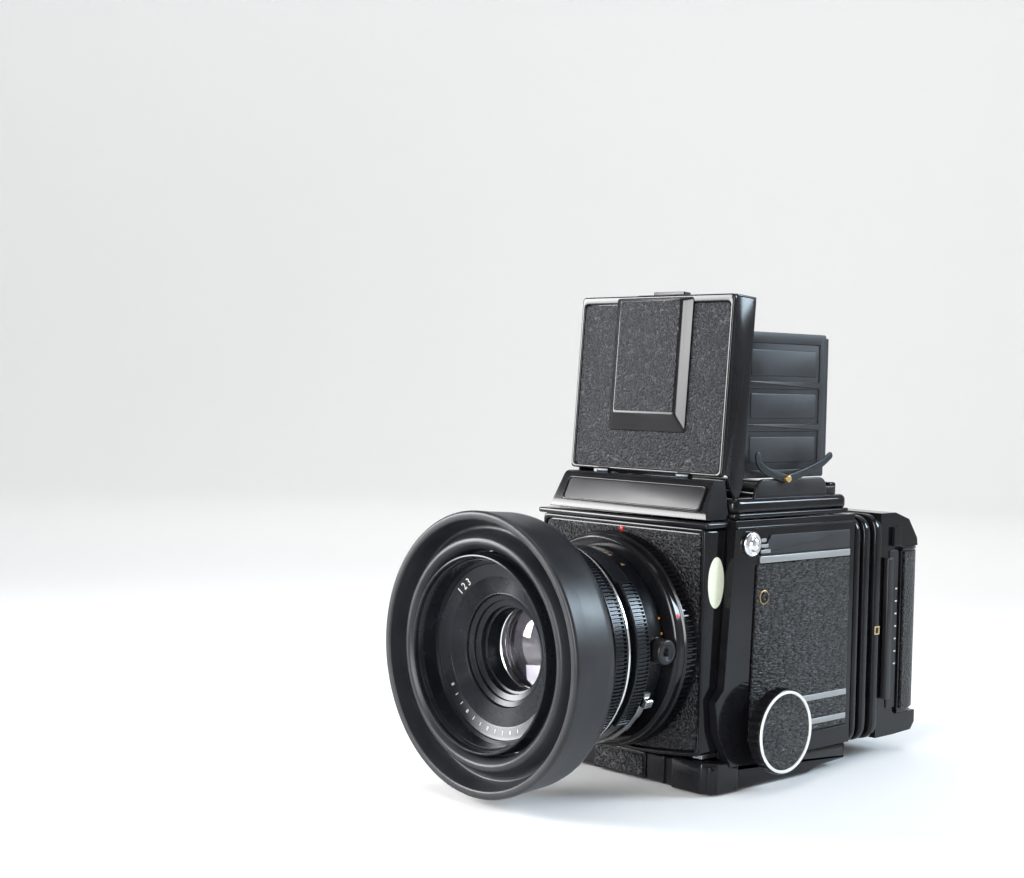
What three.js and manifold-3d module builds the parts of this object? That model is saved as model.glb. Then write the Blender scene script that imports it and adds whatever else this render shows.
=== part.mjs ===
// A box-form medium-format reflex camera with bellows focusing, an open
// folding waist-level finder, a large lens with a rubber hood, and a roll-film
// back on a revolving adapter.
//
// Millimetres, +Z up. The front faces -Y and +X is the photographer's left.
// The origin is the centre of the base's underside. The lens axis runs along
// Y at x = 0, z = AXIS_Z.
import * as THREE from "three";
import { mergeVertices } from "three/addons/utils/BufferGeometryUtils.js";
import Module from "manifold-3d";

const wasm = await Module();
wasm.setup();

// ---- driving dimensions -------------------------------------------------
const GAP = 0.3; // air left between neighbouring solids
const AXIS_Z = 60.2; // height of the lens axis
const HALF_WIDTH = 52; // camera body
const BODY_FRONT = -36;
const BODY_REAR = 47;
const BODY_BOTTOM = 10.8;
const BODY_TOP = 113.3;
const WALL = 4;
const PLATE_FRONT = -50; // face of the moving front standard
const STANDARD_HALF = 47.6;
const STANDARD_TOP = 110.3;
const SHAFT_Y = -13.4; // focus shaft
const SHAFT_Z = 24.8;
const PINION_R = 6;
const KNOB_R = 18;
const KNOB_FACE = 63.7; // outer face of the focus knobs
const HOOD_R = 57.3;
const HOOD_FRONT = -132.6;
const ADAPTER_REAR = 69.3;
const ADAPTER_HALF = 51.8;
const BACK_REAR = 103.6;
const FINDER_BOTTOM = BODY_TOP + GAP;
const FINDER_RIM = 121.8;
const LID_LEAN = THREE.MathUtils.degToRad(4.1);
const LID_FOOT_Y = -36.1;
const LID_FOOT_Z = 130.8;
const LID_HEIGHT = 77;
const LID_HALF = 44.4;
const LID_DEPTH = 13.6;
const HOOD_PANEL_X = 42; // upright side panels of the finder
const LEAF = 1.2; // thickness of the finder's folding panels
const REAR_LEAF_Y = 36; // front face of the rear folding panel
const RACK_X = 42; // focusing racks and the pinions that drive them
const BUTTON_X = -38; // shutter release, in the chin
const BUTTON_Z = 6.2;
const COCKING_Y = 2; // pivot of the cocking lever
const COCKING_Z = 58;
const WIND_Y = 78.8; // pivot of the film wind lever
const WIND_Z = 44;
const MIRROR_UP_Y = -69.2; // socket on the side of the lens
const STAY_Y = 4.2; // near pin of the finder's stays
const STAY_Z = 129.6;
const SPOOL_X = 38;
const SPOOL_Y = 86.4;
const DOOR_Y = 84.4; // front edge of the back door
const BEYOND = 60; // past the widest part: how far a cutter reaches
const ROUND = 32; // sides of a large round part

// ---- materials ----------------------------------------------------------
const material = (color, roughness, metalness) =>
  new THREE.MeshStandardMaterial({ color, roughness, metalness });
const gloss = material(0x0c0c0e, 0.18, 0.2);
const satin = material(0x1c1d20, 0.45, 0.3);
const matte = material(0x2b2c2f, 0.8, 0.1);
const leather = material(0x1a1a1d, 0.75, 0);
const chrome = material(0xc8c8ca, 0.2, 1);
const steel = material(0x8d8f93, 0.35, 0.9);
const rubber = material(0x24262b, 0.85, 0);
const glass = material(0x9fb4c8, 0.05, 0);

const camera = new THREE.Group();

// ---- shape helpers ------------------------------------------------------
const move = (geometry, x, y, z) => geometry.translate(x, y, z);

/** A box given by its lowest and highest corners. */
function block(x0, y0, z0, x1, y1, z1) {
  const box = new THREE.BoxGeometry(x1 - x0, y1 - y0, z1 - z0);
  return move(box, (x0 + x1) / 2, (y0 + y1) / 2, (z0 + z1) / 2);
}

const outline = (points) => new THREE.Shape(points.map(([a, b]) => new THREE.Vector2(a, b)));

/** A rectangle centred on (a, b) with round corners. */
function roundedRect(a, b, halfA, halfB, radius) {
  const shape = new THREE.Shape();
  shape.absarc(a + halfA - radius, b - halfB + radius, radius, -Math.PI / 2, 0);
  shape.absarc(a + halfA - radius, b + halfB - radius, radius, 0, Math.PI / 2);
  shape.absarc(a - halfA + radius, b + halfB - radius, radius, Math.PI / 2, Math.PI);
  shape.absarc(a - halfA + radius, b - halfB + radius, radius, Math.PI, 1.5 * Math.PI);
  return shape;
}

const extrude = (shape, depth, curveSegments) =>
  new THREE.ExtrudeGeometry(shape, { depth, bevelEnabled: false, curveSegments });

/** A (y, z) outline carried from x0 to x1. */
function alongX(shape, x0, x1, segments = 6) {
  const turn = new THREE.Matrix4().set(0, 0, 1, x0, 1, 0, 0, 0, 0, 1, 0, 0, 0, 0, 0, 1);
  return extrude(shape, x1 - x0, segments).applyMatrix4(turn);
}

/** An (x, z) outline carried from y0 to y1. */
function alongY(shape, y0, y1, segments = 6) {
  return move(extrude(shape, y1 - y0, segments).rotateX(Math.PI / 2), 0, y1, 0);
}

/** An (x, y) outline carried from z0 to z1. */
function alongZ(shape, z0, z1, segments = 6) {
  return move(extrude(shape, z1 - z0, segments), 0, 0, z0);
}

/** A cutter for a round hole right through along X. */
const bore = (radius, y, z) =>
  turnedX([[0, -BEYOND], [radius, -BEYOND], [radius, BEYOND], [0, BEYOND]], 1, y, z, 16);

/** A cutter for the lens opening of the front standard. */
const throat = (radius) => turned([[0, -BEYOND], [radius, -BEYOND], [radius, -30], [0, -30]]);

/** A profile of [radius, position] turned about the Y axis, at x = 0, z = z. */
function turned(profile, z = AXIS_Z, segments = ROUND) {
  const points = profile.map(([r, y]) => new THREE.Vector2(r, y));
  return move(new THREE.LatheGeometry(points, segments), 0, 0, z);
}

/** A ring between two radii and two positions along the Y axis. */
const ring = (inner, outer, y0, y1, z = AXIS_Z, segments = ROUND) =>
  turned([[inner, y0], [outer, y0], [outer, y1], [inner, y1], [inner, y0]], z, segments);

/** A solid profile turned about an axis along X: side is +1 or -1. */
function turnedX(profile, side, y, z, segments = 32) {
  const points = profile.map(([r, x]) => new THREE.Vector2(r, x));
  const lathe = new THREE.LatheGeometry(points, segments).rotateZ(-side * Math.PI / 2);
  return move(lathe, 0, y, z);
}

/** A solid profile turned about an upright axis. */
function turnedZ(profile, x, y, segments = 24) {
  const points = profile.map(([r, z]) => new THREE.Vector2(r, z));
  return move(new THREE.LatheGeometry(points, segments).rotateX(Math.PI / 2), x, y, 0);
}

/** A closed mesh as a solid that can be cut and joined. */
function solid(geometry) {
  const bare = geometry.clone();
  bare.deleteAttribute("normal");
  bare.deleteAttribute("uv");
  const merged = mergeVertices(bare, 1e-4);
  return new wasm.Manifold(
    new wasm.Mesh({
      numProp: 3,
      vertProperties: new Float32Array(merged.attributes.position.array),
      triVerts: new Uint32Array(merged.index.array),
    }),
  );
}

function backToGeometry(manifold) {
  const mesh = manifold.getMesh();
  const geometry = new THREE.BufferGeometry();
  geometry.setAttribute("position", new THREE.BufferAttribute(mesh.vertProperties, 3));
  geometry.setIndex(new THREE.BufferAttribute(mesh.triVerts, 1));
  geometry.computeVertexNormals();
  return geometry;
}

const cut = (base, ...tools) =>
  backToGeometry(tools.reduce((rest, tool) => rest.subtract(solid(tool)), solid(base)));
const join = (first, ...others) =>
  backToGeometry(others.reduce((sum, other) => sum.add(solid(other)), solid(first)));

function part(name, geometry, look) {
  const mesh = new THREE.Mesh(geometry, look);
  mesh.name = name;
  camera.add(mesh);
  return mesh;
}

/** A geometry tilted with the finder's lid about the foot of its front face. */
function leaned(geometry) {
  geometry.rotateX(-LID_LEAN);
  return move(geometry, 0, LID_FOOT_Y, LID_FOOT_Z);
}

// ---- camera body --------------------------------------------------------
function buildBody() {
  const inner = HALF_WIDTH - WALL - 0.5;
  const box = block(-HALF_WIDTH, BODY_FRONT, BODY_BOTTOM, HALF_WIDTH, BODY_REAR, BODY_TOP);
  const cheekEdge = [
    [-35, BODY_BOTTOM], [-35, BODY_TOP], [-36.1, 109.8], [-41, 43.8],
    [-45.9, 39.1], [-44.1, 25.6], [-39.2, 16.7],
  ].reverse();
  const cheeks = [-HALF_WIDTH, HALF_WIDTH - 3.8].map((x) =>
    alongX(outline(cheekEdge), x, x + 3.8),
  );
  const shell = cut(
    join(box, ...cheeks),
    block(-inner, -32, 13.2, inner, 42, 108.3),
    block(-41, -40, 22, 41, -30, 101),
    block(-38, 40, 22, 38, 50, 98),
    block(-42, -30, 100, 42, 38, 120),
    ...[-RACK_X, RACK_X].map((x) => block(x - 2.9, -40, 12, x + 2.9, -30, 23)),
    bore(4.4, SHAFT_Y, SHAFT_Z),
  );
  part("body_shell", shell, gloss);

  const panel = [[-25.2, 20], [43, 20], [43, 94.8], [-22, 94.8]];
  for (const [side, name] of [[1, "left"], [-1, "right"]]) {
    const x0 = side > 0 ? HALF_WIDTH + GAP : -HALF_WIDTH - GAP - 0.8;
    const cover = alongX(outline(panel), x0, x0 + 0.8);
    part(`side_leather_${name}`, cut(cover, bore(5.4, SHAFT_Y, SHAFT_Z)), leather);

    const lug = [
      [0, 52.3], [6.5, 52.3], [6.5, 53.6], [3, 54.4], [2.6, 56.4],
      [4.6, 57.4], [4.2, 58.6], [0, 59.2],
    ];
    part(`strap_lug_${name}`, turnedX(lug, side, -26.6, 103.4, 20), chrome);
  }

  const floor = [
    [-47, 1.2], [-45.8, 0], [20, 0], [30, 2.2], [46, 3], [46, BODY_BOTTOM - GAP],
    [-36, BODY_BOTTOM - GAP], [-37, 12], [-47, 12],
  ];
  const base = cut(
    alongX(outline(floor), -50.5, 50.5),
    turnedZ([[0, -1], [4.7, -1], [4.7, 8], [0, 8]], 0, 12, 20), // tripod socket
    ...[-24.8, 14.8].map((x) => block(x, -50, 1.8, x + 10, -43, 15)), // recesses beside the chin
    move(turned([[0, -50], [4.6, -50], [4.6, -37.5], [0, -37.5]], BUTTON_Z, 16), BUTTON_X, 0, 0),
  );
  part("base_plate", base, gloss);

  part("focusing_screen", block(-41.6, -29.6, 108.8, 41.6, 37.6, 111.2), glass);
}

// ---- mirror -------------------------------------------------------------
function buildMirror() {
  const hingeY = 36.4;
  const hingeZ = 102.4;
  const place = (geometry) => move(geometry.rotateX(Math.PI / 4), 0, hingeY, hingeZ);
  part("mirror_frame", place(join(
    block(-36, -66, -2.6, 36, 0, -1.2),
    new THREE.CylinderGeometry(2, 2, 76, 12).rotateZ(Math.PI / 2),
  )), satin);
  part("mirror", place(block(-35, -65, -0.9, 35, -4, 0.6)), steel);
}

// ---- focusing drive -----------------------------------------------------
function buildFocusDrive() {
  const shaft = turnedX([[0, -54.6], [4, -54.6], [4, 54.6], [0, 54.6]], 1, SHAFT_Y, SHAFT_Z, 16);
  const pinions = [-RACK_X, RACK_X].map((x) =>
    turnedX([[0, x - 2.2], [PINION_R, x - 2.2], [PINION_R, x + 2.2], [0, x + 2.2]], 1,
      SHAFT_Y, SHAFT_Z, 18),
  );
  part("focus_shaft", join(shaft, ...pinions), steel);

  for (const [side, name] of [[1, "left"], [-1, "right"]]) {
    const profile = [
      [0, 55], [13.8, 55], [16.6, 56.6], [KNOB_R, 57.4], [KNOB_R, 62.4], [KNOB_R - 0.7, KNOB_FACE],
      [15.4, KNOB_FACE], [15.4, 63], [0, 63],
    ];
    part(`focus_knob_${name}`, turnedX(profile, side, SHAFT_Y, SHAFT_Z, 28), gloss);
  }
  for (const [x, name] of [[RACK_X, "left"], [-RACK_X, "right"]]) {
    part(`focus_rack_${name}`, block(x - 2.4, -45, 13.9, x + 2.4, 37, 18.4), steel);
  }
}

// ---- front standard and bellows -----------------------------------------
function buildStandard() {
  const rise = [[47.6, 16.5], [37, 15], [26, 13.8], [14.5, 12.7]];
  const face = [
    ...rise.map(([x, z]) => [-x, z]), ...[...rise].reverse(),
    [STANDARD_HALF, STANDARD_TOP], [-STANDARD_HALF, STANDARD_TOP],
  ];
  const box = alongY(outline(face), PLATE_FRONT, -36.6);
  const ledge = block(-49.6, PLATE_FRONT - 1.7, STANDARD_TOP - 0.5, 49.6, -37, 112.6);
  const inside = block(-44.6, -46, 19.4, 44.6, -30, 107);
  const recess = block(-45.6, -BEYOND, 18.2, 45.6, PLATE_FRONT + 1.2, 108.3);
  const rackSlots = [-RACK_X, RACK_X].map((x) => block(x - 2.7, -45.4, 12, x + 2.7, -30, 19.5));
  part("front_standard", cut(join(box, ledge), inside, recess, throat(37.7), ...rackSlots), gloss);

  const sheet = block(-45.2, PLATE_FRONT + 0.1, 18.6, 45.2, PLATE_FRONT + 0.9, 107.9);
  part("front_leather", cut(sheet, throat(38.6)), leather);
  part("lens_flange", turned([
    [33, -50.6], [37.4, -50.6], [37.4, -46.3], [33, -46.3], [33, -50.6],
  ]), chrome);

  const folds = 3;
  const depth = 9;
  const half = (step) => (step % 2 ? 39.4 : 43);
  const wall = [];
  for (let step = 0; step <= 2 * folds; step += 1) {
    wall.push([half(step), -45.7 + (depth * step) / (2 * folds)]);
  }
  const back = wall.map(([r, y]) => [r - 1.2, y]).reverse();
  const section = [...wall, ...back, wall[0]].map(([r, y]) => new THREE.Vector2(r * Math.SQRT2, y));
  const square = new THREE.LatheGeometry(section, 4).rotateY(Math.PI / 4);
  part("bellows", move(square, 0, 0, 63.2), leather);
}

// ---- lens ---------------------------------------------------------------
function buildLens() {
  part("lens_barrel", turned([
    [31.6, -46.6], [31.6, -106], [36, -106], [36, -116], [40.6, -116], [40.6, -104.5],
    [41.4, -104.5], [41.4, -98.6], [40.4, -98.3], [40.4, -75.7], [39.4, -75.5], [38, -63.8],
    [37.6, -51], [32.6, -51], [32.6, -46.6], [31.6, -46.6],
  ]), gloss);
  part("lens_lock_ring", cut(
    turned([
      [38.5, -63.4], [44, -63.4], [45.4, -61.8], [45.9, -58], [45.9, -51.2], [38.5, -51.2],
      [38.5, -63.4],
    ]),
    ...Array.from({ length: 12 }, (_, i) => {
      const angle = (i / 12) * 2 * Math.PI;
      const notch = block(-1.6, -58, -1.6, 1.6, -50, 1.6).rotateY(angle);
      return move(notch, 46.6 * Math.cos(angle), 0, AXIS_Z - 46.6 * Math.sin(angle));
    }),
  ), gloss);
  part("shutter_speed_ring", ring(40.8, 43.9, -98, -90.2), satin);
  part("aperture_ring", ring(40.8, 43.6, -84.8, -77), satin);

  part("preview_lever", join(
    cut(
      ring(40.8, 42.4, -76.6, -71, AXIS_Z, 48),
      block(-60, -80, AXIS_Z - 32, 60, -60, AXIS_Z + 60),
    ),
    block(5, -76, AXIS_Z - 46.2, 13, -71.6, AXIS_Z - 41.4),
  ), satin);

  const socket = turnedX([[0, 40.2], [5.2, 40.2], [5.2, 45.2], [4.4, 45.8], [0, 45.8]], 1,
    MIRROR_UP_Y, AXIS_Z + 1, 20);
  const pinhole = turnedX([[0, 43], [1.6, 43], [1.6, 50], [0, 50]], 1, MIRROR_UP_Y, AXIS_Z + 1, 12);
  part("mirror_up_knob", cut(socket, pinhole), satin);

  part("name_ring", turned([
    [35.6, -131], [37.4, -131], [37.4, -119.5], [36, -117.2], [24, -116.6], [18.4, -113.4],
    [18.4, -106.4], [17.2, -106.4], [17.2, -114.4], [23.1, -118.2], [34.1, -120],
    [35.6, -131],
  ]), matte);
  part("front_element", turned([
    [0, -104.6], [6, -104.2], [12, -102.8], [16.1, -100.8], [16.1, -98], [0, -95],
  ]), glass);
  part("iris_blades", ring(9, 30, -86, -84.6), steel);
  part("rear_element", turned([
    [0, -58], [14, -56], [20, -54], [20, -50], [0, -47],
  ]), glass);

  part("hood_mount_ring", turned([
    [37.8, -131.5], [39.7, -131.5], [39.7, -126], [40.4, -125], [40.4, -116.4], [37.8, -116.4],
    [37.8, -131.5],
  ]), satin);
  const hood = turned([
    [40.8, -124.4], [43.5, -126.5], [46.5, -129], [50.5, -126], [53, -129], [53.8, HOOD_FRONT],
    [56.4, HOOD_FRONT], [HOOD_R, -131], [56.3, -120], [55.5, -111], [53.2, -109.2],
    [45, -110.6], [42, -113], [40.8, -115], [40.8, -124.4],
  ], AXIS_Z, 44);
  part("rubber_hood", hood, rubber);
}

// ---- shutter release and side controls ----------------------------------
function buildControls() {
  const release = turned([[0, -50], [2.6, -50], [2.9, -49.4], [2.9, -41], [0, -41]], BUTTON_Z, 16);
  part("shutter_button", move(release, BUTTON_X, 0, 0), chrome);
  part("button_collar", move(ring(3.3, 4.3, -48.6, -41.5, BUTTON_Z, 20), BUTTON_X, 0, 0), satin);

  const lever = [[-6, -7], [6, -7], [7, 6], [5, 33], [-5, 33], [-7, 6]];
  part("cocking_lever", join(
    move(alongX(outline(lever), -57.4, -54.2), 0, COCKING_Y, COCKING_Z),
    turnedX([[0, 53.6], [9, 53.6], [9, 58.4], [0, 58.4]], -1, COCKING_Y, COCKING_Z, 24),
    move(block(-63, -4, 24, -57, 4, 33), 0, COCKING_Y, COCKING_Z),
  ), gloss);
  const tongue = alongX(outline([[-4, -20], [4, -20], [7, -3], [7, 7], [-7, 7], [-7, -3]]), -54.8, -53.5);
  part("focus_lock_lever", cut(
    move(tongue, 0, SHAFT_Y, SHAFT_Z),
    bore(4.6, SHAFT_Y, SHAFT_Z),
  ), chrome);
}

// ---- folding waist-level finder -----------------------------------------
function buildFinder() {
  const base = cut(
    join(
      block(-49.4, -33, FINDER_BOTTOM, 49.4, 47, FINDER_RIM),
      block(-45.2, -14, FINDER_RIM - 1, -43.6, 34, 129.6),
      block(43.6, -14, FINDER_RIM - 1, 45.2, 34, 129.6),
      block(-42, 37.2, FINDER_RIM - 1, 42, 46, 125.6),
    ),
    block(-41, -29, 110, 41, 36.6, 140),
    ...[-BEYOND, 42.6].map((x) => block(x, -34, 118, x + BEYOND - 42.6, -17, 130)),
  );
  part("finder_base", base, satin);

  const cover = [
    [-48, FINDER_BOTTOM], [-47.6, 115.4], [-41.2, 128.8], [-39, 129.6],
    [-33.4, 129.6], [-33.4, FINDER_BOTTOM],
  ].reverse();
  part("nameplate_block", alongX(outline(cover), -45, 45), gloss);

  // The lid is drawn upright with its foot at the origin, then leaned back.
  const pan = cut(
    block(-LID_HALF, 0, 0, LID_HALF, LID_DEPTH, LID_HEIGHT),
    block(-LID_HALF + 1.4, 1.6, -1, LID_HALF - 1.4, 30, LID_HEIGHT - 1.4),
    block(-42.2, -1, 2.2, 42.2, 0.5, 73),
  );
  const skirts = [-1, 1].map((side) =>
    alongX(outline([[1, 2], [4, 1.5], [4, -2], [9, -9.5], [11, -9.5], [LID_DEPTH, -3], [LID_DEPTH, 2]]),
      side > 0 ? LID_HALF - 1.2 : -LID_HALF, side > 0 ? LID_HALF : -LID_HALF + 1.2),
  );
  const bulge = alongX(outline([[0.6, 17.5], [0.6, 76], [-4, 76], [-4, 23]]), -22.5, 22.5);
  const tab = block(-14, 7, LID_HEIGHT - 1, 14, 12.6, LID_HEIGHT + 0.9);
  part("lid", leaned(join(pan, ...skirts, bulge, tab)), gloss);
  part("lid_leather", leaned(cut(
    block(-41.9, -0.3, 2.5, 41.9, 0.2, 72.7),
    block(-22.8, -1, 17.2, 22.8, 1, 80),
  )), leather);
  part("lid_catch", leaned(block(-9, 7.6, LID_HEIGHT + 1.2, 9, 12, LID_HEIGHT + 2.6)), satin);
  const pivotY = 4.2;
  part("magnifier_frame", leaned(cut(
    join(
      block(-21, 2.2, 22, 21, 5.4, 70),
      new THREE.CylinderGeometry(1.6, 1.6, 60, 12).rotateZ(Math.PI / 2).translate(0, pivotY, 71),
    ),
    move(new THREE.CylinderGeometry(17, 17, 20, 32), 0, 0, 46),
  )), satin);
  part("magnifier_lens", leaned(turned([[0, 2.8], [15, 3.4], [16.6, 3.6], [15, 4.4], [0, 5]], 46, 32)),
    glass);

  const panelTop = 192.4;
  for (const [side, name, foot] of [[1, "left", 129.9], [-1, "right", 132]]) {
    const x0 = side > 0 ? HOOD_PANEL_X - LEAF / 2 : -HOOD_PANEL_X - LEAF / 2;
    const leaf = block(x0, -22, foot, x0 + LEAF, REAR_LEAF_Y - 4 * GAP, panelTop);
    const pans = [[171.8, 186.8], [153.8, 168.4], [134.8, 149.8]].map(([z0, z1]) =>
      block(side > 0 ? x0 + LEAF - 0.4 : x0 - 1, -18, z0, side > 0 ? x0 + 5 : x0 + 0.4, 30, z1));
    part(`hood_panel_${name}`, cut(leaf, ...pans), matte);
  }
  part("hood_panel_rear", join(
    block(-40.6, REAR_LEAF_Y, 134.3, 40.6, REAR_LEAF_Y + LEAF, 191.6),
    ...[-40.6, 39.6].map((x) => block(x, REAR_LEAF_Y, 136, x + 1, REAR_LEAF_Y + 3.4, 191)),
  ), matte);

  const bar = (from, to, x0) => {
    const [dy, dz] = [to[0] - from[0], to[1] - from[1]];
    const run = Math.hypot(dy, dz);
    const shape = roundedRect(run / 2, 0, run / 2 + 2, 2, 1.9);
    const link = alongX(shape, 0, 0.9, 3).rotateX(Math.atan2(dz, dy));
    return move(link, x0, from[0], from[1]);
  };
  for (const [side, name] of [[1, "left"], [-1, "right"]]) {
    const near = side > 0 ? 45.5 : -46.4;
    const far = side > 0 ? 46.4 : -47.3;
    part(`hood_stay_${name}`, join(
      bar([STAY_Y, STAY_Z], [-10, 133.8], near), bar([-10, 133.8], [-15, 139], near),
      bar([STAY_Y, STAY_Z], [34, 138.6], far),
      turnedX([[0, 45.5], [1.6, 45.5], [1.6, 47.6], [0, 47.6]], side, STAY_Y, STAY_Z, 12),
    ), steel);
  }
}

// ---- revolving adapter and roll-film back -------------------------------
function buildBack() {
  part("adapter_seat", ring(44, 50, BODY_REAR + GAP, BODY_REAR + 1.4), chrome);
  const square = (half, radius) => roundedRect(0, AXIS_Z, half, half, radius);
  const window = block(-38, 30, AXIS_Z - 38, 38, 90, AXIS_Z + 38);
  const layers = [
    [48.8, 53.6, ADAPTER_HALF], [53.2, 57.4, ADAPTER_HALF - 2], [57, 61.4, ADAPTER_HALF],
    [61, 65, ADAPTER_HALF - 2], [64.6, ADAPTER_REAR, ADAPTER_HALF],
  ].map(([y0, y1, half]) => alongY(square(half, 9), y0, y1, 5));
  part("revolving_adapter", cut(join(...layers), window), gloss);
  const latch = block(-9, 58, AXIS_Z + ADAPTER_HALF + GAP, 9, 63, AXIS_Z + ADAPTER_HALF + 2.6);
  part("back_lock", latch, chrome);

  // film back: a frame with a picture gate and a bay for a spool on each side
  const frameSide = [
    [69.6, 9], [84, 9], [84, 18.8], [84, 96.4], [99.6, 96.4], [99, 100], [92, 109],
    [81, 112.4], [69.6, 112.4],
  ];
  const lowerLip = [[83.6, 9], [98, 9.6], [101, 13], [101, 18.6], [83.6, 18.6]];
  part("film_back_frame", cut(
    join(
      alongX(outline(frameSide), -50.5, 50.5),
      alongX(outline(lowerLip), -50.5, 50.5),
    ),
    block(-35, 60, AXIS_Z - 28, 35, 90, AXIS_Z + 28),
    block(-38, 73.2, AXIS_Z - 32, 60, 74.8, AXIS_Z + 32),
    ...[-49.2, 26.5].map((x) => block(x, 76.4, 24, x + 22.7, 90, 92)), // bays for the spools
  ), satin);
  part("dark_slide", join(
    block(-37, 73.6, AXIS_Z - 31.5, 51, 74.4, AXIS_Z + 31.5),
    block(50.9, 72.4, 27, 53.6, 76.6, 92),
  ), steel);

  const bulges = (inset) => {
    const shape = new THREE.Shape();
    const half = 51.8 - inset;
    const radius = 13 - inset;
    shape.moveTo(-half, DOOR_Y);
    shape.lineTo(half, DOOR_Y);
    shape.absarc(half - radius, BACK_REAR - inset - radius, radius, 0, 0.75 * Math.PI);
    shape.lineTo(20, 97.6 - inset);
    shape.lineTo(-20, 97.6 - inset);
    shape.absarc(radius - half, BACK_REAR - inset - radius, radius, 0.25 * Math.PI, Math.PI);
    return shape;
  };
  part("back_door", cut(
    alongZ(bulges(0), 19, 96, 6),
    move(alongZ(bulges(2.2), 21, 94, 6), 0, -0.8, 0),
    block(-49.6, 80, 21, 49.6, 85.4, 94),
  ), gloss);
  part("door_leather", cut(
    alongZ(bulges(-0.9), 21, 94.2, 6),
    alongZ(bulges(-GAP), 10, 100, 6),
    block(-60, 80, 0, 60, 86.4, 120),
  ), leather);
  part("pressure_plate", block(-30.5, 84.8, 34, 33, 86.6, 86.4), steel);
  for (const [x, name] of [[-SPOOL_X, "supply"], [SPOOL_X, "takeup"]]) {
    part(`${name}_spool`, turnedZ([
      [0, 26], [9.4, 26], [9.4, 28], [5, 28], [5, 88], [9.4, 88], [9.4, 90], [0, 90],
    ], x, SPOOL_Y, 20), matte);
  }
  const arm = [[-3.8, -4], [3.8, -4], [3.4, 30], [-3.4, 30]];
  part("wind_lever", join(
    move(alongX(outline(arm), -55.6, -53.8), 0, WIND_Y, WIND_Z),
    turnedX([[0, 51], [4.2, 51], [4.2, 56.6], [0, 56.6]], -1, WIND_Y, WIND_Z, 16),
  ), gloss);
  part("door_latch", block(50.8, 78, 97, 52.2, 83.4, 106), steel);
}

buildBody();
buildMirror();
buildFocusDrive();
buildStandard();
buildLens();
buildControls();
buildFinder();
buildBack();

export default camera;
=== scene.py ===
"""Looks of a box-form medium-format reflex camera with a folding finder.

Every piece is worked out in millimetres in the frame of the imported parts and
stored in metres. The camera faces -Y, +X is the photographer's left, +Z up.
"""
import math

import bmesh
import bpy
import numpy as np
from mathutils import Matrix, Vector


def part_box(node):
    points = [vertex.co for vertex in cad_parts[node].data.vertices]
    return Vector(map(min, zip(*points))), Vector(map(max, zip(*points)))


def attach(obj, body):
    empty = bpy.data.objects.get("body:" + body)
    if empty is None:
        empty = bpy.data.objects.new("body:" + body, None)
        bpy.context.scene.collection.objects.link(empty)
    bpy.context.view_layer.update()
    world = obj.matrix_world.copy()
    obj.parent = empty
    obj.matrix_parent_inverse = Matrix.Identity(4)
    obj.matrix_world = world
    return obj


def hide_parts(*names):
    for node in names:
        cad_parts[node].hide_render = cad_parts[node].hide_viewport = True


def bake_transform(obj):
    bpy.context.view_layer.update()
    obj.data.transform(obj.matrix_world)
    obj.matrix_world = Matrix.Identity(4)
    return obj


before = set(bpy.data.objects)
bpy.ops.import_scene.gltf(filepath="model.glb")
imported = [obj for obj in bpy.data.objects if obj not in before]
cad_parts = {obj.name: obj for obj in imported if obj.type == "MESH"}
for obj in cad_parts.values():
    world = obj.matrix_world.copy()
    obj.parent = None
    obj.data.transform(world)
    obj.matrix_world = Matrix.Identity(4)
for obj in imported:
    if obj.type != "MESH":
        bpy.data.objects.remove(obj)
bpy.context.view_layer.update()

MM = 0.001


def node_box(name):
    """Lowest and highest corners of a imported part, in millimetres."""
    low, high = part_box(name)
    return np.array(low) / MM, np.array(high) / MM


# ---- driving values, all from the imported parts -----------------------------
ring_low, ring_high = node_box("lens_lock_ring")
AXIS_Z = (ring_low[2] + ring_high[2]) / 2
HALF = node_box("body_shell")[1][0]

# ---- materials --------------------------------------------------------------


def new_look(name, color, roughness, metallic=0.0, **sockets):
    """A principled material; extra values go straight on its sockets."""
    look = bpy.data.materials.new(name)
    look.use_nodes = True
    shader = look.node_tree.nodes["Principled BSDF"]
    shader.inputs["Base Color"].default_value = (*color, 1)
    shader.inputs["Roughness"].default_value = roughness
    shader.inputs["Metallic"].default_value = metallic
    for socket, value in sockets.items():
        shader.inputs[socket.replace("_", " ")].default_value = value
    return look, look.node_tree, shader


def place(tree, kind, **values):
    """A shader node with its properties set."""
    node = tree.nodes.new(kind)
    for key, value in values.items():
        setattr(node, key, value)
    return node


def noise(tree, scale, detail=3.0, coords=None):
    """Noise on Object coordinates, scale in features per metre."""
    node = place(tree, "ShaderNodeTexNoise")
    node.inputs["Scale"].default_value = scale
    node.inputs["Detail"].default_value = detail
    tree.links.new(coords or object_coords(tree), node.inputs["Vector"])
    return node.outputs["Fac"]


def object_coords(tree):
    for node in tree.nodes:
        if node.type == "TEX_COORD":
            return node.outputs["Object"]
    return place(tree, "ShaderNodeTexCoord").outputs["Object"]


def ramp(tree, source, low, high, start=0.3, end=0.7):
    """Maps a 0 to 1 source between two values."""
    node = place(tree, "ShaderNodeMapRange")
    node.inputs["From Min"].default_value = start
    node.inputs["From Max"].default_value = end
    node.inputs["To Min"].default_value = low
    node.inputs["To Max"].default_value = high
    tree.links.new(source, node.inputs["Value"])
    return node.outputs["Result"]


def tint(tree, source, first, second):
    """Mixes two colours by a 0 to 1 source."""
    node = place(tree, "ShaderNodeMix", data_type="RGBA")
    node.inputs[6].default_value = (*first, 1)
    node.inputs[7].default_value = (*second, 1)
    tree.links.new(source, node.inputs[0])
    return node.outputs[2]


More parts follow.
